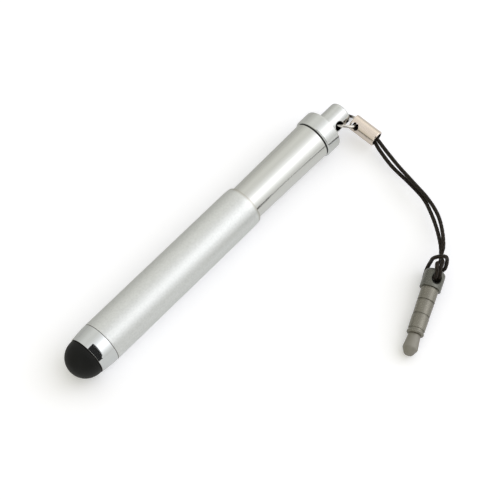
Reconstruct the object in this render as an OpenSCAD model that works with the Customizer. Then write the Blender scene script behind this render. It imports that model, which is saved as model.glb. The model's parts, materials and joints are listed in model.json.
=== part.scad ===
// Mini stylus: a two-stage telescopic touch pen with a soft dome tip, a lug for
// a wire ring, and a cord strap that ends in a 3.5 mm headphone-socket plug.
// The pen lies on its side along X, tip towards -X, drawn out to its full length.
// The origin is under the middle of the pen, on the surface that it lies on.

/* [Barrel] */
// Outer diameter of the barrel, shared by the end cap
barrel_d = 9; // [8.4:0.1:10.5]
// Length of the barrel from the nose seam to its mouth
barrel_len = 40.6; // [38:0.2:60]
// Wall of the drawn barrel tube
barrel_wall = 0.25; // [0.2:0.01:0.3]
// Length over which the mouth is rolled inwards
mouth_roll = 1.9; // [1:0.1:2.5]
// How far the rolled mouth comes in on the outside
mouth_drop = 0.16; // [0.05:0.01:0.18]
// How far the lip of the mouth stands inside the bore
lip_height = 0.08; // [0.05:0.01:0.1]
// Length of the lip along the bore
lip_len = 0.6; // [0.4:0.1:1.2]

/* [Nose and tip] */
// Length of the bright collar between the dome and the barrel
nose_len = 4; // [3.6:0.1:7]
// Rounding of the two edges that meet at the nose seam
seam_round = 0.1; // [0.04:0.02:0.16]
// How far the crowned collar comes in towards the dome
nose_drop = 0.33; // [0.15:0.01:0.36]
// Rounding of the collar's front edge
nose_round = 0.12; // [0.05:0.01:0.4]
// Width of the collar's front lip
lip_width = 0.6; // [0.5:0.02:0.64]
// Length of the collar's spigot inside the barrel
nose_spigot = 4.5; // [3:0.1:7]
// Wall of the spigot
spigot_wall = 0.31; // [0.25:0.01:0.5]
// Thickness of the front lip that holds the dome
nose_lip = 1.2; // [0.9:0.05:1.6]
// Radius of the soft dome
dome_r = 4.06; // [3.8:0.02:4.2]
// Reach of the dome past the collar
dome_reach = 4.4; // [4.3:0.05:4.8]
// Wall of the hollow dome
dome_wall = 1.1; // [0.8:0.05:1.3]
// Rounding of the dome's back edge
dome_back_round = 0.25; // [0.1:0.05:0.4]
// Thickness of the dome's foot behind the lip
foot_t = 1; // [0.7:0.1:1.3]
// Length of the core behind the dome's foot
core_len = 5; // [3:0.1:5.5]

/* [Inner tube] */
// Visible length of the tube when it is drawn out
extension = 20.4; // [14:0.2:22]
// How much slimmer the tube's radius is at its inner end
tube_draft = 0.3; // [0.1:0.02:0.4]
// Wall of the tube at its inner end and at its neck
tube_wall = 0.45; // [0.35:0.05:0.6]
// Depth of the neck that carries the friction bush
neck_step = 0.4; // [0.3:0.05:0.5]
// Length of the friction bush
bush_len = 5; // [3:0.1:8]
// Width of the slit that lets the bush spring
bush_slit = 0.8; // [0.4:0.1:1.5]
// Thickness of the end plug's flange
flange_t = 0.8; // [0.5:0.1:1.5]
// Length of the end plug inside the neck
end_plug_len = 4; // [2:0.1:6]

/* [Cap and lug] */
// Thickness of the black stop washer
washer_t = 0.3; // [0.2:0.05:0.6]
// How far the washer sits below the tube's surface
washer_inset = 0.09; // [0.02:0.01:0.2]
// Length of the end cap
cap_len = 3.5; // [2.6:0.1:6]
// Rounding of the cap's edges
cap_round = 0.3; // [0.1:0.05:0.6]
// Length of the cap's spigot inside the tube
cap_spigot = 5; // [3:0.1:8]
// Diameter of the lug
lug_d = 5; // [4.4:0.1:5.2]
// Length of the lug past the cap
lug_len = 5.6; // [5:0.1:6.2]
// Rounding of the lug's end
lug_round = 0.6; // [0.3:0.05:1]
// Diameter of the lug's cross hole
lug_hole_d = 2.1; // [2:0.05:2.3]
// Distance of the cross hole from the cap
lug_hole_x = 2.2; // [1.9:0.1:2.4]
// Turn of the cap about the pen's axis, which tips the cross hole over
lug_turn = 68; // [62:1:74]

/* [Ring and ferrule] */
// Diameter of the wire ring, at the middle of the wire
ring_d = 7.7; // [7.6:0.05:8.1]
// Diameter of the ring's wire
wire_d = 0.6; // [0.45:0.05:0.7]
// Opening of the ring's cut, in degrees
ring_cut = 4; // [1:1:12]
// Swing of the ring about the lug's cross hole
ring_swing = 33.5; // [26:0.5:40]
// Place of the ferrule round the ring, from its far point
ferrule_place = 72; // [68:1:76]
// Lean of the ferrule about the ring's wire
ferrule_lean = -21; // [-29:1:-13]
// Outer diameter of the ferrule
ferrule_d = 3.45; // [3:0.05:3.6]
// Wall of the ferrule
ferrule_wall = 0.4; // [0.25:0.05:0.45]
// Length of the ferrule
ferrule_len = 6.2; // [5.5:0.1:8]
// Diameter of the ferrule's cross hole
ferrule_hole_d = 1.8; // [1.5:0.05:1.9]
// Distance of that hole from the ferrule's end
ferrule_hole_x = 1.2; // [1.1:0.05:1.6]
// Length of the melted bead that holds the cord's ends
bead_len = 1; // [0.6:0.1:1.4]

/* [Cord and jack plug] */
// Diameter of the cord
cord_d = 0.8; // [0.6:0.05:0.8]
// Diameter of the plug's shaft
shaft_d = 3.5; // [3.2:0.05:3.6]
// Length of one of the shaft's three steps
step_len = 3.1; // [2.6:0.1:4]
// Depth of the grooves between the steps
groove_depth = 0.2; // [0.05:0.05:0.3]
// Width of those grooves
groove_w = 0.4; // [0.1:0.05:0.6]
// How much slimmer the radius of the two front steps is at their front, for the mould
step_draft = 0.06; // [0.02:0.01:0.1]
// Diameter of the bead at the front of the steps
collar_d = 3.5; // [3:0.05:3.6]
// Thickness of that bead
collar_t = 0.7; // [0.4:0.1:1.2]
// Widest diameter of the tip
tip_d = 3.05; // [2.6:0.05:3.2]
// Diameter of the waist behind the tip
waist_d = 2.45; // [2:0.05:2.5]
// Distance from the tip's end to its widest place
tip_cone = 1.4; // [0.8:0.1:2]
// Distance from the widest place to the bead
waist_len = 2.95; // [2.2:0.05:3.5]
// Diameter of the plug's head
head_d = 4.3; // [4:0.05:4.4]
// Length of the head
head_len = 4; // [3.8:0.1:4.1]
// Rounding of the head's end
head_round = 0.9; // [0.5:0.1:1]
// Distance of the cord hole from the head's end
cord_hole_end = 2.1; // [2:0.05:2.2]
// Diameter of the cord hole
cord_hole_d = 1.9; // [1.85:0.05:2.1]
// Chamfer at the mouths of the cord hole
hole_chamfer = 0.2; // [0.15:0.05:0.3]
// Length of the moulding pip on the head's end
pip_len = 1.7; // [0.5:0.1:1.8]
// Diameter of the pip at its root
pip_d = 0.9; // [0.5:0.05:1]

/* [Clearances] */
// Radial gap of parts that are pressed together
press_gap = 0.01; // [0:0.005:0.02]
// Radial gap of the bush in the barrel
slide_gap = 0.02; // [0.01:0.005:0.04]
// Radial gap of the bush on the tube's neck
turn_gap = 0.03; // [0.02:0.005:0.05]
// Radial gap of the tube's thick end in the mouth
mouth_gap = 0.03; // [0.02:0.005:0.06]
// Gap of the dome in the collar
rubber_gap = 0.02; // [0.01:0.005:0.05]
// Gap along the pen between parts that meet end to end
end_gap = 0.05; // [0.02:0.01:0.1]

/* [Hidden] */
$fn = 96;
cut = 0.02;

// Places along the pen
total_len = dome_reach + nose_len + barrel_len + extension + washer_t + cap_len + lug_len;
lip_x = -total_len / 2 + dome_reach;
seam_x = lip_x + nose_len;
mouth_x = seam_x + barrel_len;
tube_end_x = mouth_x + extension;
cap_x = tube_end_x + washer_t;
lug_x = cap_x + cap_len;
end_x = lug_x + lug_len;
hole_x = lug_x + lug_hole_x;
dome_x = lip_x - dome_reach + dome_r;
bush_end_x = mouth_x - lip_len - end_gap;
bush_x = bush_end_x - bush_len;
neck_x = bush_x - end_gap;
shoulder_x = bush_end_x + end_gap;

// Radii of the pen, from the barrel inwards
barrel_r = barrel_d / 2;
axis_z = barrel_r;
bore_r = barrel_r - barrel_wall;
lip_r = bore_r - lip_height;
tube_big_r = lip_r - mouth_gap;
tube_small_r = tube_big_r - tube_draft;
neck_r = tube_small_r - neck_step;
tube_bore_r = tube_small_r - tube_wall;
neck_bore_r = neck_r - tube_wall;
bush_r = bore_r - slide_gap;
bush_bore_r = neck_r + turn_gap;
flange_r = neck_r + neck_step + 0.15;
spigot_r = bore_r - press_gap;
nose_bore_r = spigot_r - spigot_wall;
nose_front_r = barrel_r - nose_drop;
opening_r = nose_front_r - lip_width;
foot_r = nose_bore_r - rubber_gap;
core_r = nose_bore_r - press_gap;
core_x = lip_x + nose_lip + rubber_gap + foot_t + end_gap;
dome_bore_r = dome_r - dome_wall;
post_r = opening_r - dome_wall;
cap_spigot_r = tube_bore_r - press_gap;
washer_r = tube_big_r - washer_inset;

// The ring lies in the cross hole so that its curve has equal room on both sides
ring_r = ring_d / 2;
lug_sag = (ring_r - sqrt(ring_r * ring_r - lug_d * lug_d / 4)) / 2;
ferrule_sag = (ring_r - sqrt(ring_r * ring_r - ferrule_d * ferrule_d / 4)) / 2;
ferrule_r = ferrule_d / 2;
ferrule_bore_r = ferrule_r - ferrule_wall;
bead_x = ferrule_hole_d / 2 + 0.4;

// Places along the jack plug, from the end of its tip
collar_x = tip_cone + waist_len;
steps_x = collar_x + collar_t;
head_x = steps_x + 3 * step_len;
head_end_x = head_x + head_len;
cord_hole_x = head_end_x - cord_hole_end;

// Where the plug's cord hole lies, and how the plug is turned, raised and rolled
plug_at = [22.4, -38.3, 3.08];
plug_turn = 22.5;
plug_raise = 5.5;
plug_roll = 21;

// The cord from its bead to the hitch: the outer strand, then the inner one
outer_strand = [[40.13, -6.31, 3.65], [40.09, -8.64, 3.25], [39.29, -12.15, 2.75],
                [38.09, -16.59, 2.85], [37.04, -21.27, 3.1], [35.99, -25.83, 3.3],
                [34.27, -29.76, 3.7], [31.7, -32.93, 4.4], [28.72, -35.56, 5.1]];
inner_strand = [[28.75, -34.95, 4.3], [31.38, -32.01, 3.7], [33.75, -28.69, 3.1],
                [35.8, -24.94, 2.5], [36.9, -20.23, 2.08], [37.54, -15.32, 2.1],
                [38.61, -11.13, 2.45], [39.56, -8.59, 2.55], [39.58, -6.27, 2.93]];
// The lark's-head hitch, in the plug's own frame: along its axis, across it, and
// out of the front mouth of the cord hole
hitch = [[4.9, -0.46, 1.28], [3.14, -0.34, 3.14], [1.46, -0.34, 3.18], [0.6, 0.18, 2.52],
         [0.28, 0.42, 0.6], [0.28, 0.42, -0.6], [0.56, 0.26, -2.3], [1.68, 0.08, -2.88],
         [2.92, 0.64, -2.5], [3.48, 1.72, -1.1], [4.14, 1.38, 0.58], [4.56, 0.54, 2.3],
         [4.32, -0.34, 3.28], [3.86, -1.36, 3.24], [3.44, -2.06, 2.16], [3.66, -1.54, -0.34],
         [2.88, -1.06, -2.8], [0.86, -0.86, -3.08], [0.06, -0.56, -2.1], [0.28, -0.42, -0.6],
         [0.28, -0.42, 0.6], [-0.08, -0.52, 2.36], [0.62, -0.9, 3.42], [2.22, -1.34, 3.26],
         [4.22, 0.02, 0.52]];
cord_sides = 8;
cord_steps = 2;

// Turning matrices about the axes
function turn_x(a) = [[1, 0, 0], [0, cos(a), -sin(a)], [0, sin(a), cos(a)]];
function turn_y(a) = [[cos(a), 0, sin(a)], [0, 1, 0], [-sin(a), 0, cos(a)]];
function turn_z(a) = [[cos(a), -sin(a), 0], [sin(a), cos(a), 0], [0, 0, 1]];

// A point of the plug's own frame, with its across axis to the right of the head
plug_frame = turn_z(plug_turn) * turn_y(-plug_raise) * turn_x(plug_roll);
function on_plug(p) = plug_at + plug_frame * [p[0], -p[1], p[2]];

// Smooth curve through points, by the Catmull-Rom rule, with n steps a span
function blend(a, b, c, d, t) =
    0.5 * (2 * b + (c - a) * t + (2 * a - 5 * b + 4 * c - d) * t * t
           + (3 * b - a - 3 * c + d) * t * t * t);
function smooth(p, n) =
    let (last = len(p) - 1,
         q = concat([2 * p[0] - p[1]], p, [2 * p[last] - p[last - 1]]))
    concat([for (i = [1 : last]) for (k = [0 : n - 1])
                blend(q[i - 1], q[i], q[i + 1], q[i + 2], k / n)],
           [p[last]]);

// Directions along a line of points, and side vectors that don't twist about it
function unit(v) = v / norm(v);
function along(p) =
    [for (i = [0 : len(p) - 1]) unit(p[min(i + 1, len(p) - 1)] - p[max(i - 1, 0)])];
function sides(t, v, i = 0) =
    i == len(t) ? []
    : let (s = unit(v - (v * t[i]) * t[i])) concat([s], sides(t, s, i + 1));

// A solid of revolution about the pen's axis, from a profile of radius and place
module turned() {
    translate([0, 0, axis_z]) rotate([0, 90, 0]) rotate_extrude() children();
}

// A rectangle of the profile between two radii and two places
module band(r0, r1, x0, x1) {
    translate([r0, x0]) square([r1 - r0, x1 - x0]);
}

// What is cut from a corner of the profile to round it
// quarter 0 points outwards and to +X, 90 inwards and to +X, 270 outwards and to -X
module corner_cut(r, x, rad, quarter) {
    translate([r, x]) rotate(quarter) translate([-rad, -rad]) difference() {
        square(rad + cut);
        circle(r = rad);
    }
}

// The frame of the lug's cross hole, Z out of its front mouth
module at_lug_hole() {
    translate([hole_x, 0, axis_z]) rotate([lug_turn, 0, 0]) children();
}

// The frame of the ring's middle, with the ring in its XZ plane
module at_ring() {
    at_lug_hole() rotate([0, 0, -ring_swing]) translate([ring_r - lug_sag, 0, 0]) children();
}

// The frame of the ferrule's cross hole: Z along the hole, X along the ferrule
module at_ferrule() {
    at_ring() rotate([0, -ferrule_place, 0]) translate([ring_r - ferrule_sag, 0, 0])
        rotate([0, 0, ferrule_lean]) children();
}

// The frame of the plug's cord hole: Z out of its front mouth, X to the head's end
module at_plug() {
    translate(plug_at) rotate([0, 0, plug_turn]) rotate([0, -plug_raise, 0])
        rotate([plug_roll, 0, 0]) children();
}

// Hollow silicone dome with a neck in the collar's lip and a foot behind it
module rubber_tip() {
    back_x = lip_x - rubber_gap;
    foot_x = lip_x + nose_lip + rubber_gap;
    neck = opening_r - rubber_gap;
    color("#262626") turned() difference() {
        union() {
            difference() {
                union() {
                    translate([0, dome_x]) circle(r = dome_r);
                    band(0, dome_r, dome_x, dome_x + dome_reach);
                }
                band(-dome_r, dome_r + cut, back_x, back_x + 2 * dome_r);
                corner_cut(dome_r, back_x, dome_back_round, 0);
            }
            band(0, neck, back_x, foot_x);
            band(0, foot_r, foot_x, foot_x + foot_t);
        }
        intersection() {
            translate([0, dome_x]) circle(r = dome_bore_r);
            band(0, dome_r, dome_x - dome_r, dome_x);
        }
        band(-cut, post_r + rubber_gap, dome_x - cut, foot_x + foot_t + cut);
        band(-dome_r, 0, dome_x - 2 * dome_r, foot_x + 2 * foot_t);
    }
}

// Stepped core: its post fills the dome's neck and its body is pressed in the collar
module tip_core() {
    color("#3b3b3d") turned() difference() {
        union() {
            band(0, post_r, dome_x, core_x);
            band(0, core_r, core_x, core_x + core_len);
        }
        corner_cut(post_r, dome_x, post_r / 3, 270);
        corner_cut(core_r, core_x + core_len, cap_round, 0);
    }
}

// Chromed collar, crowned towards the dome, with a lip for it and a spigot for the barrel
module nose_collar() {
    crown_r = (nose_len * nose_len + nose_drop * nose_drop) / (2 * nose_drop);
    edge_r = nose_front_r + nose_round * 2 * nose_drop / nose_len;
    color("#d8dadd") turned() difference() {
        union() {
            band(0, barrel_r, lip_x, seam_x);
            band(0, spigot_r, seam_x - cut, seam_x + nose_spigot);
        }
        difference() {
            band(opening_r, barrel_r + cut, lip_x - cut, seam_x);
            translate([barrel_r - crown_r, seam_x]) circle(r = crown_r, $fn = 360);
        }
        corner_cut(edge_r, lip_x, nose_round, 270);
        corner_cut(barrel_r, seam_x, seam_round, 0);
        band(-cut, opening_r, lip_x - cut, lip_x + nose_lip + cut);
        band(-cut, nose_bore_r, lip_x + nose_lip, seam_x + nose_spigot + cut);
    }
}

// Thin drawn barrel whose mouth is rolled in to keep the bush
module barrel() {
    roll_x = mouth_x - mouth_roll;
    roll_r = (mouth_roll * mouth_roll + mouth_drop * mouth_drop) / (2 * mouth_drop);
    color("#c9cbcd") turned() difference() {
        band(0, barrel_r, seam_x, mouth_x);
        band(-cut, bore_r, seam_x - cut, mouth_x - lip_len);
        band(-cut, lip_r, seam_x, mouth_x + cut);
        corner_cut(barrel_r, seam_x, seam_round, 270);
        difference() {
            band(bore_r, barrel_r + cut, roll_x, mouth_x + cut);
            translate([barrel_r - roll_r, roll_x]) circle(r = roll_r, $fn = 360);
        }
    }
}

// Split acetal bush that grips the bore and turns on the tube's neck
module friction_bush() {
    color("#e8e6df") difference() {
        turned() difference() {
            band(bush_bore_r, bush_r, bush_x, bush_end_x);
            corner_cut(bush_r, bush_x, cap_round, 270);
        }
        translate([bush_x - cut, -bush_slit / 2, axis_z])
            cube([bush_len + 2 * cut, bush_slit, barrel_r]);
    }
}

// Polished tube, slightly slimmer inwards, necked down for the bush
module inner_tube() {
    color("#dfe1e3") turned() difference() {
        union() {
            band(0, neck_r, neck_x, shoulder_x + cut);
            polygon([[0, shoulder_x], [tube_small_r, shoulder_x],
                     [tube_big_r, tube_end_x], [0, tube_end_x]]);
        }
        band(-cut, neck_bore_r, neck_x - cut, shoulder_x + neck_step);
        band(-cut, tube_bore_r, shoulder_x + neck_step, tube_end_x + cut);
    }
}

// Plug in the tube's inner end, whose flange keeps the bush on
module tube_end_plug() {
    color("#56585b") turned() difference() {
        union() {
            band(0, flange_r, neck_x - flange_t, neck_x);
            band(0, neck_bore_r - press_gap, neck_x - cut, neck_x + end_plug_len);
        }
        corner_cut(flange_r, neck_x - flange_t, cap_round, 270);
    }
}

// Black washer between the tube and the cap
module stop_washer() {
    color("#1c1c1c") turned() band(tube_bore_r, washer_r, tube_end_x, cap_x);
}

// End cap with its spigot, and the lug with its cross hole
module end_cap() {
    color("#dcdee0") difference() {
        turned() difference() {
            union() {
                band(0, cap_spigot_r, tube_end_x - cap_spigot, cap_x + cut);
                band(0, barrel_r, cap_x, lug_x);
                band(0, lug_d / 2, lug_x - cut, end_x);
            }
            corner_cut(barrel_r, cap_x, cap_round, 270);
            corner_cut(barrel_r, lug_x, cap_round, 0);
            corner_cut(lug_d / 2, end_x, lug_round, 0);
        }
        at_lug_hole() cylinder(d = lug_hole_d, h = 2 * lug_d, center = true);
    }
}

// Wire jump ring through the lug and the ferrule, cut at the side away from both
module strap_ring() {
    color("#d6d3cc") at_ring() rotate([90, 0, 0]) rotate([0, 0, -90 + ring_cut / 2])
        rotate_extrude(angle = 360 - ring_cut) translate([ring_r, 0]) circle(d = wire_d, $fn = 32);
}

// Nickel tube that the ring passes through and the cord comes out of
module cord_ferrule() {
    rim = ferrule_wall / 2;
    color("#cfc6b8") at_ferrule() difference() {
        translate([-ferrule_hole_x, 0, 0]) rotate([0, 90, 0]) rotate_extrude() difference() {
            band(ferrule_bore_r, ferrule_r, 0, ferrule_len);
            corner_cut(ferrule_r, 0, rim, 270);
            corner_cut(ferrule_r, ferrule_len, rim, 0);
        }
        cylinder(d = ferrule_hole_d, h = 2 * ferrule_d, center = true, $fn = 48);
    }
}

// The cord's two ends, melted into one bead in the ferrule
module cord_bead() {
    color("#141414") at_ferrule() translate([bead_x, 0, 0]) rotate([0, 90, 0])
        cylinder(r = ferrule_bore_r - press_gap, h = bead_len, $fn = 48);
}

// One tube along the whole route: out to the plug, round the hitch and back
module strap_cord() {
    line = smooth(concat(outer_strand, [for (p = hitch) on_plug(p)], inner_strand), cord_steps);
    dirs = along(line);
    left = sides(dirs, [0, 0, 1]);
    last = len(line) - 1;
    points = [for (i = [0 : last]) let (up = cross(dirs[i], left[i]))
                  for (k = [0 : cord_sides - 1]) let (a = 360 * k / cord_sides)
                      line[i] + cord_d / 2 * (cos(a) * left[i] + sin(a) * up)];
    walls = [for (i = [0 : last - 1]) for (k = [0 : cord_sides - 1])
                 let (a = i * cord_sides + k, b = i * cord_sides + (k + 1) % cord_sides)
                     each [[a, a + cord_sides, b], [b, a + cord_sides, b + cord_sides]]];
    ends = [for (k = [1 : cord_sides - 2])
                each [[0, k, k + 1],
                      [last * cord_sides, last * cord_sides + k + 1, last * cord_sides + k]]];
    color("#171717") polyhedron(points = points, faces = concat(walls, ends));
}

// Moulded jack plug: blunt tip, waist, bead, three steps and a drilled head
module jack_plug() {
    // The blunt nose of the tip, as shares of its radius and of its length
    tip_nose = [[0, 0], [0.36, 0], [0.52, 0.06], [0.64, 0.2], [0.96, 0.86], [1, 1]];
    head_r = head_d / 2;
    bead_r = collar_d / 2 - collar_t / 2;
    color("#80827f") at_plug() difference() {
        translate([-cord_hole_x, 0, 0]) rotate([0, 90, 0]) rotate_extrude() difference() {
            union() {
                polygon(concat([for (p = tip_nose) [p[0] * tip_d / 2, p[1] * tip_cone]],
                               [[waist_d / 2, collar_x], [0, collar_x]]));
                band(0, bead_r, collar_x - cut, collar_x + collar_t);
                translate([bead_r, collar_x + collar_t / 2]) circle(d = collar_t);
                band(0, shaft_d / 2 - groove_depth, collar_x + collar_t / 2, head_x);
                for (i = [0 : 1]) {
                    x = steps_x + i * step_len;
                    polygon([[0, x + groove_w], [shaft_d / 2 - step_draft, x + groove_w],
                             [shaft_d / 2, x + step_len], [0, x + step_len]]);
                }
                band(0, shaft_d / 2, steps_x + 2 * step_len + groove_w, head_x + cut);
                band(0, head_r, head_x, head_end_x);
                polygon([[0, head_end_x - cut], [pip_d / 2, head_end_x - cut],
                         [pip_d / 4, head_end_x + pip_len], [0, head_end_x + pip_len]]);
            }
            corner_cut(head_r, head_end_x, head_round, 0);
        }
        cylinder(d = cord_hole_d, h = 2 * head_d, center = true, $fn = 48);
        for (side = [0, 180]) rotate([side, 0, 0]) translate([0, 0, head_r - 2 * hole_chamfer])
            cylinder(r1 = cord_hole_d / 2, r2 = cord_hole_d / 2 + 2 * hole_chamfer,
                     h = 2 * hole_chamfer + cut, $fn = 48);
    }
}

rubber_tip();
tip_core();
nose_collar();
barrel();
friction_bush();
inner_tube();
tube_end_plug();
stop_washer();
end_cap();
strap_ring();
cord_ferrule();
cord_bead();
strap_cord();
jack_plug();
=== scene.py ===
"""Looks of a telescopic mini stylus lying on white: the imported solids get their
metals, rubber and plastic, and the strap's cord is a braided tube on the same
route as its solid. Sizes are written in millimetres, and MM makes them metres."""

import json
import math

import bpy
import numpy as np
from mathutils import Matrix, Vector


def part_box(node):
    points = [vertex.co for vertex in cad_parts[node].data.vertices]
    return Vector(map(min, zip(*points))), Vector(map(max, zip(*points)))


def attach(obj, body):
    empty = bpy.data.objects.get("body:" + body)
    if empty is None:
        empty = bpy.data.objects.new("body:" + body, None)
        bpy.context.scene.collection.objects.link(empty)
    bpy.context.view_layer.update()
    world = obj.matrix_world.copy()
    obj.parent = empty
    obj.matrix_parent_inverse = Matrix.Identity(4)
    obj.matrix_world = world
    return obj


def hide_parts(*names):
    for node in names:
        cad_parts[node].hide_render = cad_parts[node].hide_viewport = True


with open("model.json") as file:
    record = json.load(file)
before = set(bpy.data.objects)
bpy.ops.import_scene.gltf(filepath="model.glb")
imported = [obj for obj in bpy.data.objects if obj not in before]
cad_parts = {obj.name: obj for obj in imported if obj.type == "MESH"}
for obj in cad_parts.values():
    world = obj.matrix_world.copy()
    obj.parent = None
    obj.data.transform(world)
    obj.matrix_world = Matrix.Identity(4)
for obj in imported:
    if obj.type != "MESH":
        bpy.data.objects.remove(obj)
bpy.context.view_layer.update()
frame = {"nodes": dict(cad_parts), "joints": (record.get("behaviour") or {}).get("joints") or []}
nodes = frame["nodes"]
joints = {joint["name"]: joint for joint in frame["joints"]}
scene = bpy.context.scene
scene.view_settings.view_transform = "Standard"
MM = 0.001

# Camera: a long lens, looking down on the pen from the dome's side

FRAME_PX = 500
SENSOR_MM = 36
FOCAL_PX = 1688.3
SHIFT_PX = 0.7
CLIP_FROM = 10
CAMERA_AT = (-113.19, -112.84, 297.77)
CAMERA_AZIMUTH = -47.86
CAMERA_HEIGHT = 61.92

camera = bpy.data.objects.new("camera", bpy.data.cameras.new("camera"))
camera.data.sensor_width = SENSOR_MM
camera.data.lens = FOCAL_PX / FRAME_PX * SENSOR_MM
camera.data.shift_x = -SHIFT_PX / FRAME_PX
camera.data.shift_y = SHIFT_PX / FRAME_PX
camera.data.clip_start = CLIP_FROM * MM
camera.location = [c * MM for c in CAMERA_AT]
camera.rotation_euler = (math.radians(90 - CAMERA_HEIGHT), 0, math.radians(CAMERA_AZIMUTH))
scene.collection.objects.link(camera)
scene.camera = camera

# The cord's route, as in the solid: two strands, and the hitch in the plug's frame

CORD_D = 0.8
OUTER_STRAND = [[40.13, -6.31, 3.65], [40.09, -8.64, 3.25], [39.29, -12.15, 2.75],
                [38.09, -16.59, 2.85], [37.04, -21.27, 3.1], [35.99, -25.83, 3.3],
                [34.27, -29.76, 3.7], [31.7, -32.93, 4.4], [28.72, -35.56, 5.1]]
INNER_STRAND = [[28.75, -34.95, 4.3], [31.38, -32.01, 3.7], [33.75, -28.69, 3.1],
                [35.8, -24.94, 2.5], [36.9, -20.23, 2.08], [37.54, -15.32, 2.1],
                [38.61, -11.13, 2.45], [39.56, -8.59, 2.55], [39.58, -6.27, 2.93]]
HITCH = [[4.9, -0.46, 1.28], [3.14, -0.34, 3.14], [1.46, -0.34, 3.18], [0.6, 0.18, 2.52],
         [0.28, 0.42, 0.6], [0.28, 0.42, -0.6], [0.56, 0.26, -2.3], [1.68, 0.08, -2.88],
         [2.92, 0.64, -2.5], [3.48, 1.72, -1.1], [4.14, 1.38, 0.58], [4.56, 0.54, 2.3],
         [4.32, -0.34, 3.28], [3.86, -1.36, 3.24], [3.44, -2.06, 2.16], [3.66, -1.54, -0.34],
         [2.88, -1.06, -2.8], [0.86, -0.86, -3.08], [0.06, -0.56, -2.1], [0.28, -0.42, -0.6],
         [0.28, -0.42, 0.6], [-0.08, -0.52, 2.36], [0.62, -0.9, 3.42], [2.22, -1.34, 3.26],
         [4.22, 0.02, 0.52]]
PLUG_AT = np.array((22.4, -38.3, 3.08))
PLUG_TURN, PLUG_RAISE, PLUG_ROLL = 22.5, 5.5, 21
ROUTE_STEPS = 24
CORD_GAP = 0.08
CORD_SIDES = 32


def turn(axis, degrees):
    """Matrix that turns about axis 0, 1 or 2 by the right-hand rule."""
    c, s = math.cos(math.radians(degrees)), math.sin(math.radians(degrees))
    i, j = (axis + 1) % 3, (axis + 2) % 3
    m = np.eye(3)
    m[i, i], m[i, j], m[j, i], m[j, j] = c, -s, s, c
    return m


def smooth(points, steps):
    """Catmull-Rom curve: on each span between b and c, with neighbours a and d,
    half of 2b + (c-a)t + (2a-5b+4c-d)tt + (3b-a-3c+d)ttt."""
    q = np.vstack([2 * points[0] - points[1], points, 2 * points[-1] - points[-2]])
    a, b, c, d = (q[k:len(q) - 3 + k, None] for k in range(4))
    t = (np.arange(steps) / steps)[None, :, None]
    line = 0.5 * (2 * b + (c - a) * t + (2 * a - 5 * b + 4 * c - d) * t ** 2
                  + (3 * b - a - 3 * c + d) * t ** 3)
    return np.vstack([line.reshape(-1, 3), points[-1:]])


def even(line, gap):
    """The same line with points every gap, and the length along it at each."""
    s = np.r_[0, np.cumsum(np.linalg.norm(np.diff(line, axis=0), axis=1))]
    at = np.linspace(0, s[-1], int(s[-1] / gap) + 1)
    return np.stack([np.interp(at, s, line[:, k]) for k in range(3)], 1), at


def untwisted(directions, start):
    """A side vector at each place: the last one with its part along the line
    taken off, so that the sides never turn about the line."""
    sides = np.empty_like(directions)
    side = np.array(start, float)
    for i, d in enumerate(directions):
        side = side - (side @ d) * d
        side = side / np.linalg.norm(side)
        sides[i] = side
    return sides


def mesh_piece(name, points, faces, uv, finish, body, slot):
    """A piece from points in millimetres, faces, and a UV pair for every face corner."""
    mesh = bpy.data.meshes.new(name)
    mesh.from_pydata((points * MM).tolist(), [], faces)
    mesh.uv_layers.new(name="UVMap").data.foreach_set("uv", np.asarray(uv, np.float32).ravel())
    mesh.polygons.foreach_set("use_smooth", np.ones(len(faces), bool))
    mesh.materials.append(finish)
    piece = bpy.data.objects.new(name, mesh)
    scene.collection.objects.link(piece)
    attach(piece, body)
    return piece


def tube(line, along, radius, sides, relief):
    """A tube round a line: at turn w and length s its radius is radius plus
    relief(w, s). Returns points, faces and the UV of the face corners, with U the
    turn and V the length in millimetres. Its two ends are closed by one face each."""
    directions = np.gradient(line, axis=0)
    directions /= np.linalg.norm(directions, axis=1)[:, None]
    left = untwisted(directions, (0, 0, 1))
    up = np.cross(directions, left)
    w = np.arange(sides) / sides
    r = radius + relief(w[None, :], along[:, None])
    a = 2 * np.pi * w[None, :, None]
    points = line[:, None] + r[..., None] * (np.cos(a) * left[:, None] + np.sin(a) * up[:, None])
    i, k = np.meshgrid(np.arange(len(line) - 1), np.arange(sides), indexing="ij")
    n = (k + 1) % sides
    quads = np.stack([i * sides + k, i * sides + n, (i + 1) * sides + n, (i + 1) * sides + k], -1)
    uv = np.stack([np.stack([w[k], along[i]], -1), np.stack([w[k] + 1 / sides, along[i]], -1),
                   np.stack([w[k] + 1 / sides, along[i + 1]], -1),
                   np.stack([w[k], along[i + 1]], -1)], -2)
    first, last = np.arange(sides)[::-1], (len(line) - 1) * sides + np.arange(sides)
    faces = quads.reshape(-1, 4).tolist() + [first.tolist(), last.tolist()]
    uv = np.vstack([uv.reshape(-1, 2), np.zeros((2 * sides, 2))])
    return points.reshape(-1, 3), faces, uv


# Materials

# Sockets of a colour Mix node: its factor, its two colours and its result
FACTOR, FROM, TO, MIXED = 0, 6, 7, 2


def linear(hex_colour):
    """Linear colour of an sRGB hex value."""
    v = np.array([int(hex_colour[i:i + 2], 16) / 255 for i in (1, 3, 5)])
    return (*np.where(v <= 0.04045, v / 12.92, ((v + 0.055) / 1.055) ** 2.4), 1.0)


def neutral(level):
    """Linear grey of a level."""
    return (level, level, level, 1.0)


def feed(tree, node, inputs):
    """Gives each socket, by name or number, its value or the output that feeds it."""
    for socket, value in inputs.items():
        if isinstance(value, bpy.types.NodeSocket):
            tree.links.new(value, node.inputs[socket])
        else:
            node.inputs[socket].default_value = value


def add(tree, kind, inputs, **settings):
    """Adds a node with its settings, and feeds its sockets."""
    node = tree.nodes.new(kind)
    for name, value in settings.items():
        setattr(node, name, value)
    feed(tree, node, inputs)
    return node


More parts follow.
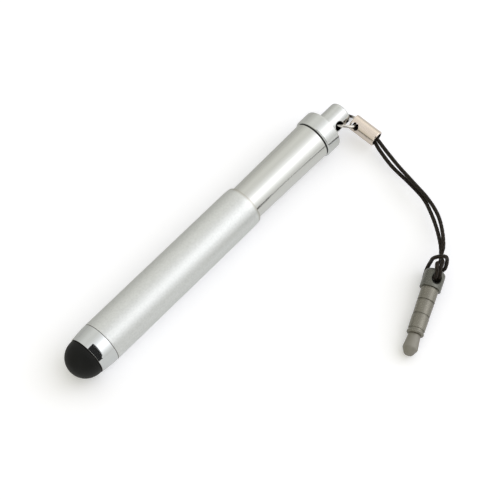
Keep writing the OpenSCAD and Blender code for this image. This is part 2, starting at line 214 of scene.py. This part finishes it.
def material(name, **sockets):
    """A material with one Principled shader, its constants set on its sockets.
    Returns it with its tree, its shader and the object's coordinates."""
    made = bpy.data.materials.new(name)
    made.use_nodes = True
    tree = made.node_tree
    shader = tree.nodes["Principled BSDF"]
    feed(tree, shader, {socket.replace("_", " "): value for socket, value in sockets.items()})
    return made, tree, shader, add(tree, "ShaderNodeTexCoord", {}).outputs["Object"]


def clothe(finish, *names):
    """Puts a finish on CAD nodes."""
    for name in names:
        nodes[name].data.materials[0] = finish


def varied(tree, pattern, shades, rough):
    """A colour between two sRGB shades and a roughness between two values, both
    following a pattern that goes from 0 to 1."""
    tint = add(tree, "ShaderNodeMix", {FACTOR: pattern, FROM: linear(shades[0]),
                                       TO: linear(shades[1])}, data_type="RGBA")
    gloss = add(tree, "ShaderNodeMapRange", {"Value": pattern, "To Min": rough[0],
                                             "To Max": rough[1]})
    return tint.outputs[MIXED], gloss.outputs[0]


def zoned(tree, elsewhere, distance, full, none, here):
    """A colour that is here up to a distance of full millimetres, and elsewhere from
    none on."""
    share = add(tree, "ShaderNodeMapRange", {"Value": distance, "From Min": full * MM,
                                             "From Max": none * MM})
    return add(tree, "ShaderNodeMix", {FACTOR: share.outputs[0], FROM: linear(here),
                                       TO: elsewhere}, data_type="RGBA").outputs[MIXED]


def past(tree, place, point, way):
    """How far a place lies past a point along a way: place minus point, dot way."""
    arm = add(tree, "ShaderNodeVectorMath", {0: place, 1: point}, operation="SUBTRACT")
    return add(tree, "ShaderNodeVectorMath", {0: arm.outputs[0], 1: way},
               operation="DOT_PRODUCT").outputs["Value"]


def from_joint(tree, place, joint_x):
    """Distance along the pen, either way, from a joint round it."""
    off = past(tree, place, (joint_x, 0, 0), ALONG_PEN)
    return add(tree, "ShaderNodeMath", {0: off}, operation="ABSOLUTE").outputs[0]


def from_axis(tree, place, point, way):
    """Distance from a line: the length of place minus point, cross way."""
    arm = add(tree, "ShaderNodeVectorMath", {0: place, 1: point}, operation="SUBTRACT")
    across = add(tree, "ShaderNodeVectorMath", {0: arm.outputs[0], 1: way},
                 operation="CROSS_PRODUCT")
    return add(tree, "ShaderNodeVectorMath", {0: across.outputs[0]},
               operation="LENGTH").outputs["Value"]


# Places on the pen, from the frame in metres: the nose's lip, the seam behind it, the
# barrel's mouth, and the holes that the ring runs in
ALONG_PEN = (1, 0, 0)
lip_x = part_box("nose_collar")[0].x
seam_x, mouth_x = (corner.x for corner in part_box("barrel"))
lug_hole, lug_hole_way = joints["ring_swing"]["pos_m"], joints["ring_swing"]["axis"]
ferrule_hole = joints["strap_swing"]["pos_m"]

# Painted shade in the nose's joints, with the dome and with the barrel: a thin dark brown line that
# stands for the shade in the seams
JOINT_SHADE_FULL_MM, JOINT_SHADE_NONE_MM = 0.02, 0.09
JOINT_SHADE = "#4a3d33"

# Barrel: aluminium, bead-blasted and clear-anodised. The blast's dents are about 0.1 mm
# and drawn at 0.4 mm so that they show as a faint sparkle; hands rub the rolled mouth
# smoother and leave it a little tarnished. The rub's places are counted from the mouth,
# towards the nose less than zero.
BLAST_MM = 0.4
BLAST_DEEP_MM = 0.006
BLAST_ROUGH = 0.05
SATIN_ROUGH, MOUTH_ROUGH = 0.39, 0.34
RUB_FROM_MM, RUB_TO_MM = -1.0, -0.1
TARNISH_FULL_MM, TARNISH_NONE_MM = 0.05, 0.6
TARNISH = "#bcbab2"
satin, tree, shader, place = material("bead_blasted_anodised_aluminium", Metallic=1)
dents = add(tree, "ShaderNodeTexNoise", {"Vector": place, "Scale": 1 / (BLAST_MM * MM),
                                         "Detail": 3, "Roughness": 0.6}).outputs["Fac"]
colour, uneven = varied(tree, dents, shades=("#d2d4d3", "#f2f4f3"),
                        rough=(-BLAST_ROUGH, BLAST_ROUGH))
# Painted shade at the seam, and real tarnish at the mouth
for joint_x, full, none, tarnish_and_shade in ((seam_x, JOINT_SHADE_FULL_MM, JOINT_SHADE_NONE_MM, JOINT_SHADE),
                                  (mouth_x, TARNISH_FULL_MM, TARNISH_NONE_MM, TARNISH)):
    colour = zoned(tree, colour, from_joint(tree, place, joint_x), full, none, tarnish_and_shade)
rubbed = add(tree, "ShaderNodeMapRange", {"Value": past(tree, place, (mouth_x, 0, 0), ALONG_PEN),
                                          "From Min": RUB_FROM_MM * MM, "From Max": RUB_TO_MM * MM,
                                          "To Min": SATIN_ROUGH, "To Max": MOUTH_ROUGH})
gloss = add(tree, "ShaderNodeMath", {0: rubbed.outputs[0], 1: uneven})
relief = add(tree, "ShaderNodeBump", {"Height": dents, "Strength": 1.0,
                                      "Distance": BLAST_DEEP_MM * MM})
feed(tree, shader, {"Base Color": colour, "Roughness": gloss.outputs[0],
                    "Normal": relief.outputs[0]})
clothe(satin, "barrel")

# Inner tube: drawn steel, polished and plated. Sliding in the mouth leaves hair lines
# along it, 0.02 mm wide and drawn at 0.15 mm so that they show.
HAIR_MM = 0.15
HAIR_LONG = 60
polished, tree, shader, place = material("polished_steel_tube", Metallic=1)
drawn = add(tree, "ShaderNodeMapping", {"Vector": place, "Scale": (1 / HAIR_LONG, 1, 1)})
hair = add(tree, "ShaderNodeTexNoise", {"Vector": drawn.outputs[0], "Scale": 1 / (HAIR_MM * MM),
                                        "Detail": 2}).outputs["Fac"]
colour, gloss = varied(tree, hair, shades=("#dbdcd9", "#e3e4e1"), rough=(0.09, 0.17))
feed(tree, shader, {"Base Color": colour, "Roughness": gloss})
clothe(polished, "inner_tube")

# End cap and lug: aluminium, turned and buffed. The tool's fine rings, 0.05 mm apart and
# drawn at 0.2 mm, run round the axis and blur the reflections a little unevenly. The lug's
# cross hole is painted dark, as painted shade inside the hole.
RINGS_MM = 0.2
RINGS_LONG = 50
LUG_HOLE_R = 1.05
LUG_HOLE_FULL_MM, LUG_HOLE_NONE_MM = LUG_HOLE_R + 0.01, LUG_HOLE_R + 0.06
LUG_HOLE_SHADE = "#2a2724"
bright, tree, shader, place = material("turned_polished_aluminium", Metallic=1)
rings = add(tree, "ShaderNodeMapping", {"Vector": place,
                                        "Scale": (1, 1 / RINGS_LONG, 1 / RINGS_LONG)})
turning = add(tree, "ShaderNodeTexNoise", {"Vector": rings.outputs[0],
                                           "Scale": 1 / (RINGS_MM * MM),
                                           "Detail": 2}).outputs["Fac"]
colour, gloss = varied(tree, turning, shades=("#d9dbda", "#e2e4e3"), rough=(0.08, 0.16))
# Painted shade: dark inside the lug's cross hole
colour = zoned(tree, colour, from_axis(tree, place, lug_hole, lug_hole_way), LUG_HOLE_FULL_MM,
               LUG_HOLE_NONE_MM, LUG_HOLE_SHADE)
feed(tree, shader, {"Base Color": colour, "Roughness": gloss})
clothe(bright, "end_cap")

# Nose collar: bright chromium plate on brass, a bluish near mirror with faint smudges of
# a few millimetres.
SMUDGE_MM = 2.5
chrome, tree, shader, place = material("bright_chromium_plate", Metallic=1)
smudge = add(tree, "ShaderNodeTexNoise", {"Vector": place, "Scale": 1 / (SMUDGE_MM * MM),
                                          "Detail": 4}).outputs["Fac"]
colour, gloss = varied(tree, smudge, shades=("#d8dbdc", "#e2e5e6"), rough=(0.02, 0.08))
# Painted shade at the lip and at the seam
for joint_x in (lip_x, seam_x):
    colour = zoned(tree, colour, from_joint(tree, place, joint_x), JOINT_SHADE_FULL_MM, JOINT_SHADE_NONE_MM,
                   JOINT_SHADE)
feed(tree, shader, {"Base Color": colour, "Roughness": gloss})
clothe(chrome, "nose_collar")

# Dome: moulded silicone rubber, matte from a spark-eroded mould, whose pits of about
# 0.1 mm are drawn at 0.25 mm; skin and dust leave paler clouds.
PITS_MM = 0.25
PITS_DEEP_MM = 0.006
CLOUD_MM = 1.8
silicone, tree, shader, place = material("matte_black_silicone", Sheen_Weight=0.04,
                                         Sheen_Roughness=0.5, Specular_IOR_Level=0.24)
pits = add(tree, "ShaderNodeTexNoise", {"Vector": place, "Scale": 1 / (PITS_MM * MM),
                                        "Detail": 2}).outputs["Fac"]
cloud = add(tree, "ShaderNodeTexNoise", {"Vector": place, "Scale": 1 / (CLOUD_MM * MM),
                                         "Detail": 3}).outputs["Fac"]
colour, gloss = varied(tree, cloud, shades=("#060706", "#0d0e0c"), rough=(0.5, 0.68))
relief = add(tree, "ShaderNodeBump", {"Height": pits, "Strength": 1.0,
                                      "Distance": PITS_DEEP_MM * MM})
feed(tree, shader, {"Base Color": colour, "Roughness": gloss, "Normal": relief.outputs[0]})
clothe(silicone, "rubber_tip")

# Core, end plug and washer: moulded black nylon, with a fine 0.2 mm mottle
MOTTLE_MM = 0.2
nylon, tree, shader, place = material("moulded_black_nylon")
mottle = add(tree, "ShaderNodeTexNoise", {"Vector": place, "Scale": 1 / (MOTTLE_MM * MM),
                                          "Detail": 2}).outputs["Fac"]
colour, gloss = varied(tree, mottle, shades=("#131313", "#1f1f1f"), rough=(0.4, 0.6))
feed(tree, shader, {"Base Color": colour, "Roughness": gloss})
clothe(nylon, "tip_core", "tube_end_plug", "stop_washer")

# Friction bush: natural acetal, milky white, turned, with 0.15 mm tool rings
BUSH_RINGS_MM = 0.15
acetal, tree, shader, place = material("turned_natural_acetal")
rings = add(tree, "ShaderNodeMapping", {"Vector": place,
                                        "Scale": (1, 1 / RINGS_LONG, 1 / RINGS_LONG)})
turning = add(tree, "ShaderNodeTexNoise", {"Vector": rings.outputs[0],
                                           "Scale": 1 / (BUSH_RINGS_MM * MM),
                                           "Detail": 1}).outputs["Fac"]
colour, gloss = varied(tree, turning, shades=("#dfdcd2", "#ebe8e0"), rough=(0.32, 0.46))
feed(tree, shader, {"Base Color": colour, "Roughness": gloss})
clothe(acetal, "friction_bush")

# Ring: bright steel wire, with a slight warm haze in patches of about a millimetre. Its
# far side is painted dark, as painted shade and painted dark reflection of the lug and the ferrule.
HAZE_MM = 0.9
RING_SHADE_FULL_MM, RING_SHADE_NONE_MM = -0.6, 0.2
RING_SHADE = "#3f3831"
wire, tree, shader, place = material("bright_steel_wire", Metallic=1)
haze = add(tree, "ShaderNodeTexNoise", {"Vector": place, "Scale": 1 / (HAZE_MM * MM),
                                        "Detail": 3}).outputs["Fac"]
colour, gloss = varied(tree, haze, shades=("#cdc8c0", "#e2dfda"), rough=(0.06, 0.16))
# Painted shade and painted dark reflection on the ring's far side
colour = zoned(tree, colour, past(tree, place, lug_hole, lug_hole_way), RING_SHADE_FULL_MM,
               RING_SHADE_NONE_MM, RING_SHADE)
feed(tree, shader, {"Base Color": colour, "Roughness": gloss})
clothe(wire, "strap_ring")

# Ferrule: brass tube under thin bright nickel, so it looks pale and pinkish-beige, with
# warmer clouds where the plating is thinnest. Its bore is painted dark, as painted shade inside it.
THIN_MM = 1.4
FERRULE_WAY = (0.04277, -0.99483, -0.0921)
FERRULE_BORE_R = 1.325
BORE_FULL_MM, BORE_NONE_MM = FERRULE_BORE_R + 0.03, FERRULE_BORE_R + 0.15
BORE_SHADE = "#1c1713"
nickel, tree, shader, place = material("nickel_plated_brass", Metallic=1)
thin = add(tree, "ShaderNodeTexNoise", {"Vector": place, "Scale": 1 / (THIN_MM * MM),
                                        "Detail": 3}).outputs["Fac"]
colour, gloss = varied(tree, thin, shades=("#e3d5c8", "#efe3d7"), rough=(0.08, 0.18))
# Painted shade: dark inside the ferrule's bore
colour = zoned(tree, colour, from_axis(tree, place, ferrule_hole, FERRULE_WAY), BORE_FULL_MM,
               BORE_NONE_MM, BORE_SHADE)
feed(tree, shader, {"Base Color": colour, "Roughness": gloss})
clothe(nickel, "cord_ferrule")

# Bead: the cord's polyester, melted, so it is lumpy at about half a millimetre and shinier
LUMP_MM = 0.5
LUMP_DEEP_MM = 0.05
melted, tree, shader, place = material("melted_black_polyester")
lump = add(tree, "ShaderNodeTexNoise", {"Vector": place, "Scale": 1 / (LUMP_MM * MM),
                                        "Detail": 2}).outputs["Fac"]
colour, gloss = varied(tree, lump, shades=("#0f0f0f", "#1e1d1c"), rough=(0.25, 0.45))
relief = add(tree, "ShaderNodeBump", {"Height": lump, "Strength": 1.0,
                                      "Distance": LUMP_DEEP_MM * MM})
feed(tree, shader, {"Base Color": colour, "Roughness": gloss, "Normal": relief.outputs[0]})
clothe(melted, "cord_bead")

# Plug: polypropylene, moulded in grey with metal flake, so it shines softly, like dull
# metal, and the slim shaft looks paler and warmer than the thick head: flow marks of a
# few millimetres, and the mould's 0.15 mm grain, drawn at 0.3 mm. The tip is rubbed matte.
# Places along the plug are counted from the middle of its hole, forwards less than zero.
FLOW_MM = 2.2
GRAIN_MM = 0.3
GRAIN_DEEP_MM = 0.0012
GRAIN_ROUGH = (0.2, 0.32)
HEAD_FROM_MM, HEAD_TO_MM = -2.2, -1.8
SHAFT_SHADES, HEAD_SHADES = ("#7a776f", "#908d83"), ("#64655f", "#777771")
TIP_FULL_MM, TIP_NONE_MM = -12.5, -12.0
TIP = "#95928a"
TIP_ROUGHER = 0.35
plug_frame = turn(2, PLUG_TURN) @ turn(1, -PLUG_RAISE) @ turn(0, PLUG_ROLL)
flaked, tree, shader, place = material("moulded_grey_polypropylene", Metallic=0.6)
flow = add(tree, "ShaderNodeTexNoise", {"Vector": place, "Scale": 1 / (FLOW_MM * MM),
                                        "Detail": 3}).outputs["Fac"]
grain = add(tree, "ShaderNodeTexNoise", {"Vector": place, "Scale": 1 / (GRAIN_MM * MM),
                                         "Detail": 2}).outputs["Fac"]
along_plug = past(tree, place, (PLUG_AT * MM).tolist(), plug_frame[:, 0].tolist())
head = add(tree, "ShaderNodeMapRange", {"Value": along_plug, "From Min": HEAD_FROM_MM * MM,
                                        "From Max": HEAD_TO_MM * MM})
dark, pale = (add(tree, "ShaderNodeMix", {FACTOR: head.outputs[0], FROM: linear(slim),
                                          TO: linear(thick)}, data_type="RGBA").outputs[MIXED]
              for slim, thick in zip(SHAFT_SHADES, HEAD_SHADES))
tint = add(tree, "ShaderNodeMix", {FACTOR: flow, FROM: dark, TO: pale}, data_type="RGBA")
colour = zoned(tree, tint.outputs[MIXED], along_plug, TIP_FULL_MM, TIP_NONE_MM, TIP)
grained = add(tree, "ShaderNodeMapRange", {"Value": grain, "To Min": GRAIN_ROUGH[0],
                                           "To Max": GRAIN_ROUGH[1]})
rubbed = add(tree, "ShaderNodeMapRange", {"Value": along_plug, "From Min": TIP_FULL_MM * MM,
                                          "From Max": TIP_NONE_MM * MM, "To Min": TIP_ROUGHER,
                                          "To Max": 0.0})
gloss = add(tree, "ShaderNodeMath", {0: grained.outputs[0], 1: rubbed.outputs[0]})
relief = add(tree, "ShaderNodeBump", {"Height": grain, "Strength": 1.0,
                                      "Distance": GRAIN_DEEP_MM * MM})
feed(tree, shader, {"Base Color": colour, "Roughness": gloss.outputs[0],
                    "Normal": relief.outputs[0]})
clothe(flaked, "jack_plug")

# Cord: black polyester, braided from four strands each way. The crowns of the strands
# shine a little and are painted lighter; the gaps between them are painted darker, as painted
# shade. The pattern is the same higher of two cosines as in the cord's relief, and below the
# low end it stays at its darkest.
BRAID_PITCH = 1.1
BRAID_STRANDS = 4
BRAID_DEPTH = 0.05
BRAID_LOW, BRAID_HIGH = -0.6, 1.0
braid, tree, shader, _ = material("black_polyester_braid", Sheen_Weight=0.02,
                                  Sheen_Roughness=0.4, Specular_IOR_Level=0.2)
on_cord = add(tree, "ShaderNodeSeparateXYZ", {0: add(tree, "ShaderNodeTexCoord", {}).outputs["UV"]})
strands = []
for pitch in (BRAID_PITCH, -BRAID_PITCH):
    wound = add(tree, "ShaderNodeMath", {0: on_cord.outputs["Y"], 1: 2 * math.pi / pitch},
                operation="MULTIPLY")
    phase = add(tree, "ShaderNodeMath", {0: on_cord.outputs["X"], 1: 2 * math.pi * BRAID_STRANDS,
                                         2: wound.outputs[0]}, operation="MULTIPLY_ADD")
    wave = add(tree, "ShaderNodeMath", {0: phase.outputs[0]}, operation="COSINE")
    strands.append(wave.outputs[0])
crown = add(tree, "ShaderNodeMath", {0: strands[0], 1: strands[1]}, operation="MAXIMUM")
height = add(tree, "ShaderNodeMapRange", {"Value": crown.outputs[0], "From Min": BRAID_LOW,
                                          "From Max": BRAID_HIGH})
# Painted shade in the gaps between the strands, and lighter crowns
colour, gloss = varied(tree, height.outputs[0], shades=("#0a0806", "#2a221a"), rough=(0.75, 0.48))
feed(tree, shader, {"Base Color": colour, "Roughness": gloss})

# The cord

hitch = PLUG_AT + (np.array(HITCH) * (1, -1, 1)) @ plug_frame.T
route = np.vstack([OUTER_STRAND, hitch, INNER_STRAND])
cord_line, cord_along = even(smooth(route, ROUTE_STEPS), CORD_GAP)


def braid_relief(w, s):
    """Two sets of strands wound opposite ways: the higher of the cosines of their
    phases, strands times turn plus and minus length over pitch."""
    one = np.cos(2 * np.pi * (BRAID_STRANDS * w + s / BRAID_PITCH))
    other = np.cos(2 * np.pi * (BRAID_STRANDS * w - s / BRAID_PITCH))
    return 0.5 * BRAID_DEPTH * (np.maximum(one, other) - 1)


cord = mesh_piece("cord", *tube(cord_line, cord_along, CORD_D / 2, CORD_SIDES, braid_relief),
                  braid, "strap", "braid")
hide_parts("strap_cord")

# Floor: bluish white paper with the object's shadow on it. For the camera it also has a
# light of its own, so that it is white where no shadow falls. In the metals it is greyer,
# as painted shade, with a light of its own only on the near side of the pen.

FLOOR_HALF = 3000
FLOOR_Z = -0.02
FLOOR_OWN = 0.26
FLOOR_TINT = (0.95, 0.96, 1.0, 1)
FLOOR_LIT = (0.90, 0.90, 0.94, 1)
MIRRORED_LIT = 0.57
MIRRORED_NEAR, MIRRORED_FAR = 0.24, 0.0
NEAR_TO_Y, FAR_FROM_Y = 3, 9
CORNERS = [(-1, -1), (1, -1), (1, 1), (-1, 1)]
floor_mesh = bpy.data.meshes.new("floor")
floor_mesh.from_pydata([(x * FLOOR_HALF * MM, y * FLOOR_HALF * MM, FLOOR_Z * MM)
                        for x, y in CORNERS], [], [(0, 1, 2, 3)])
floor = bpy.data.objects.new("floor", floor_mesh)
scene.collection.objects.link(floor)
paper = bpy.data.materials.new("white_paper")
paper.use_nodes = True
tree = paper.node_tree
tree.nodes.clear()
rays = add(tree, "ShaderNodeLightPath", {})
on_floor = add(tree, "ShaderNodeSeparateXYZ",
               {0: add(tree, "ShaderNodeTexCoord", {}).outputs["Object"]})
beside = add(tree, "ShaderNodeMapRange", {"Value": on_floor.outputs["Y"],
                                          "From Min": NEAR_TO_Y * MM, "From Max": FAR_FROM_Y * MM,
                                          "To Min": MIRRORED_NEAR, "To Max": MIRRORED_FAR})
mirrored = add(tree, "ShaderNodeMath", {0: beside.outputs[0], 1: rays.outputs["Is Glossy Ray"]},
               operation="MULTIPLY")
straight = add(tree, "ShaderNodeMath", {0: rays.outputs["Is Camera Ray"],
                                        1: rays.outputs["Is Transmission Ray"]}, use_clamp=True)
own = add(tree, "ShaderNodeMath", {0: straight.outputs[0], 1: FLOOR_OWN, 2: mirrored.outputs[0]},
          operation="MULTIPLY_ADD")
glow = add(tree, "ShaderNodeEmission", {"Color": FLOOR_TINT, "Strength": own.outputs[0]})
# In the metals the paper is greyer, as painted shade
pale = add(tree, "ShaderNodeMix", {FACTOR: rays.outputs["Is Glossy Ray"], FROM: FLOOR_LIT,
                                   TO: neutral(MIRRORED_LIT)}, data_type="RGBA")
lit = add(tree, "ShaderNodeBsdfDiffuse", {"Color": pale.outputs[MIXED]})
both = add(tree, "ShaderNodeAddShader", {0: glow.outputs[0], 1: lit.outputs[0]})
add(tree, "ShaderNodeOutputMaterial", {"Surface": both.outputs[0]})
floor_mesh.materials.append(paper)

# World: a light tent. Round the pen's axis, by degrees from straight up towards -Y, it
# has a level and a warmth. Along the pen, by the X of the direction, it is brighter and
# cooler towards the lug, less so in the metals. Only in the metals it has the dark slot
# that the camera looks through, which shows in the nose, behind the dome. The camera
# sees plain white past the floor's edge.

TENT = [(-180, 0.58, 1), (-90, 0.58, 1.3), (-70, 0.64, 1.3), (-54, 0.76, 1.1), (-40, 0.79, 1.1),
        (-25, 0.76, 1.1), (-12, 0.84, 0.7), (0, 0.96, 0.3), (10, 1.14, 0), (20, 1.43, 0),
        (28, 1.5, 0), (46, 1.5, 0), (57, 1.2, 0), (68, 0.95, 0.3), (80, 0.79, 0.6),
        (90, 0.70, 0.6), (180, 0.58, 0)]
WARM = np.array((1.0, 0.995, 0.947))
LENGTHWISE = [(-1, 0.45, 6), (-0.3, 0.5, 6), (-0.1, 0.75, 2), (0.03, 1.0, 0), (0.42, 1.0, 0),
              (0.55, 1.45, -1.5), (0.75, 1.65, -1.5), (1, 1.4, -1.5)]
MIRRORED_LENGTHWISE = [(-1, 0.2, 1), (-0.965, 0.3, 1), (-0.93, 0.85, 1), (-0.35, 1.0, 0),
                       (0.42, 1.0, 0), (0.55, 1.15, 0), (0.85, 1.3, 0), (0.94, 1.15, 0),
                       (1, 0.7, 0)]
TOP = 2.0
SLOT_TILT = (-30, 2.8)
SLOT_ROUND = (-3, 88)
SLOT_DARK = 0.006

world = bpy.data.worlds.new("light_tent")
scene.world = world
world.use_nodes = True
tree = world.node_tree
tree.nodes.clear()
rays = add(tree, "ShaderNodeLightPath", {})
way = add(tree, "ShaderNodeSeparateXYZ",
          {0: add(tree, "ShaderNodeTexCoord", {}).outputs["Generated"]})
side = add(tree, "ShaderNodeMath", {0: way.outputs["Y"], 1: -1.0}, operation="MULTIPLY")
angle = add(tree, "ShaderNodeMath", {0: side.outputs[0], 1: way.outputs["Z"]}, operation="ARCTAN2")
whole_turn = add(tree, "ShaderNodeMapRange", {"Value": angle.outputs[0], "From Min": -math.pi,
                                              "From Max": math.pi})
whole_pen = add(tree, "ShaderNodeMapRange", {"Value": way.outputs["X"], "From Min": -1.0})
round_pen = add(tree, "ShaderNodeValToRGB", {"Fac": whole_turn.outputs[0]})
along_tent, along_mirrored = (add(tree, "ShaderNodeValToRGB", {"Fac": whole_pen.outputs[0]})
                              for _ in range(2))
for ramp, stops, low, high in ((round_pen, TENT, -180, 180), (along_tent, LENGTHWISE, -1, 1),
                               (along_mirrored, MIRRORED_LENGTHWISE, -1, 1)):
    elements = ramp.color_ramp.elements
    while len(elements) < len(stops):
        elements.new(0.5)
    for element, (at, level, warmth) in zip(elements, stops):
        element.position = (at - low) / (high - low)
        element.color = (*(level / TOP * (1 + warmth * (WARM - 1))), 1)
lengthwise = add(tree, "ShaderNodeMix", {FACTOR: rays.outputs["Is Glossy Ray"],
                                         FROM: along_tent.outputs["Color"],
                                         TO: along_mirrored.outputs["Color"]}, data_type="RGBA")
light = add(tree, "ShaderNodeMix", {FACTOR: 1.0, FROM: round_pen.outputs["Color"],
                                    TO: lengthwise.outputs[MIXED]},
            data_type="RGBA", blend_type="MULTIPLY")
slot = rays.outputs["Is Glossy Ray"]
for value, edge, operation in (
        (angle.outputs[0], math.radians(SLOT_ROUND[0]), "GREATER_THAN"),
        (angle.outputs[0], math.radians(SLOT_ROUND[1]), "LESS_THAN"),
        (way.outputs["X"], math.sin(math.radians(SLOT_TILT[0])), "GREATER_THAN"),
        (way.outputs["X"], math.sin(math.radians(SLOT_TILT[1])), "LESS_THAN")):
    inside = add(tree, "ShaderNodeMath", {0: value, 1: edge}, operation=operation)
    slot = add(tree, "ShaderNodeMath", {0: slot, 1: inside.outputs[0]},
               operation="MULTIPLY").outputs[0]
slotted = add(tree, "ShaderNodeMix", {FACTOR: slot, FROM: light.outputs[MIXED],
                                      TO: neutral(SLOT_DARK)}, data_type="RGBA")
seen = add(tree, "ShaderNodeMix", {FACTOR: rays.outputs["Is Camera Ray"],
                                   FROM: slotted.outputs[MIXED], TO: neutral(1 / TOP ** 2)},
           data_type="RGBA")
tent = add(tree, "ShaderNodeBackground", {"Color": seen.outputs[MIXED], "Strength": TOP ** 2})
add(tree, "ShaderNodeOutputWorld", {"Surface": tent.outputs[0]})
